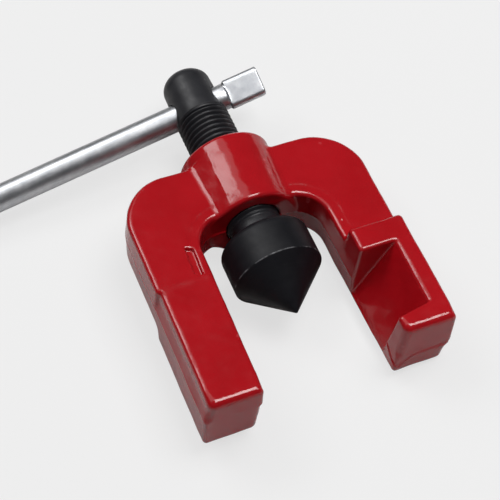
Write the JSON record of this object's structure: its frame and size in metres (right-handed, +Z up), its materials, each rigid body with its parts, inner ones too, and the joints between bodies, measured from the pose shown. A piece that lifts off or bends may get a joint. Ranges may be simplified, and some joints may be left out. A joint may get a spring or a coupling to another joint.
{
  "type": "flaring tool yoke",
  "caption": "Slip-on yoke with a T-bar feed screw that drives a free-turning 45 degree cone to flare the end of a tube held in a die bar.",
  "frame": {"origin": "middle of the whole tool's box, on the bench it lies on", "axes": "+Y along the feed screw from the leg ends to the T-bar, +X across the legs towards the right leg, +Z up; the tool leans 10.11 degrees about the screw's axis, resting on its right leg and the T-bar's far end"},
  "size_m": [0.1308, 0.0972, 0.0252],
  "materials": {
    "red_enamel": "glossy enamel over a cast surface",
    "black_steel": "black oxide, lightly oiled",
    "black_cone": "black oxide on a turned surface",
    "plated_bar": "bright zinc plate, faint drawing lines",
    "spring_steel": "oiled spring steel",
    "bearing_steel": "polished"
  },
  "bodies": {
    "yoke": {"yoke": "red_enamel"},
    "swivel": {"retaining_ring": "spring_steel", "thrust_ball": "bearing_steel"},
    "screw": {"feed_screw": "black_steel"},
    "cone": {"flaring_cone": "black_cone"},
    "bar": {"t_bar": "plated_bar"}
  },
  "joints": [
    {"name": "feed", "type": "slide", "parent": "yoke", "child": "swivel", "axis": [0, 1, 0], "range_m": [-0.01125, 0.00413]},
    {"name": "screw_turn", "type": "hinge", "parent": "swivel", "child": "screw", "pos_m": [0.03252, 0, 0.01261], "axis": [0, 1, 0], "range_deg": [-2700, 990]},
    {"name": "cone_spin", "type": "hinge", "parent": "swivel", "child": "cone", "pos_m": [0.03252, 0, 0.01261], "axis": [0, 1, 0], "continuous": true},
    {"name": "t_bar_slide", "type": "slide", "parent": "screw", "child": "bar", "axis": [0.9959, 0, 0.0905], "range_m": [-0.0015, 0.08]}
  ],
  "couplings": [
    {"joint": "feed", "follows": "screw_turn", "m_per_rad": 0.00023873}
  ]
}
